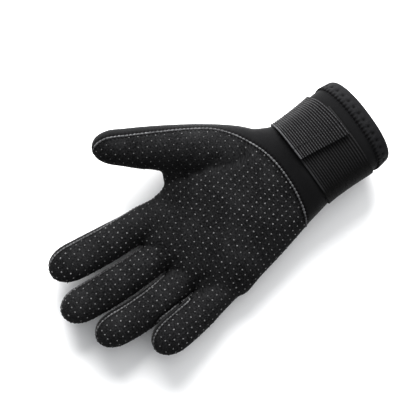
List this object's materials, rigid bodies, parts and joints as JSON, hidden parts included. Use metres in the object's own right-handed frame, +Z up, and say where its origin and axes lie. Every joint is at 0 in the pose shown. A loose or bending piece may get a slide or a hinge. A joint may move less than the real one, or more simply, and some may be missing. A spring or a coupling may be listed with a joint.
{
  "type": "diving glove",
  "caption": "Right-hand neoprene diving glove, palm up, with a seamed grip palm, smooth back and cuff, turned hem and a ribbed wrist strap with a pull tab.",
  "frame": {"origin": "on the flat of the back of the hand, where the glove rests, under the middle of the palm", "axes": "+Y from the wrist to the fingertips, +X to the thumb side, +Z up out of the palm"},
  "size_m": [0.1601, 0.2577, 0.0516],
  "materials": {
    "smooth_neoprene": "smooth nylon jersey on foam rubber, soft sheen",
    "grip_neoprene": "fine knit on foam rubber with small raised grip dots",
    "hem_neoprene": "turned edge with cover stitching",
    "strap_elastic": "ribbed elastic webbing",
    "tab_elastic": "ribbed elastic webbing, stretched ribs catch the light",
    "hook_tape": "hook-and-loop tape"
  },
  "bodies": {
    "root": {"back_panel": "smooth_neoprene", "palm_panel": "grip_neoprene", "cuff_hem": "hem_neoprene", "strap_band": "strap_elastic", "strap_tab": "tab_elastic", "hook_patch": "hook_tape"}
  },
  "joints": []
}
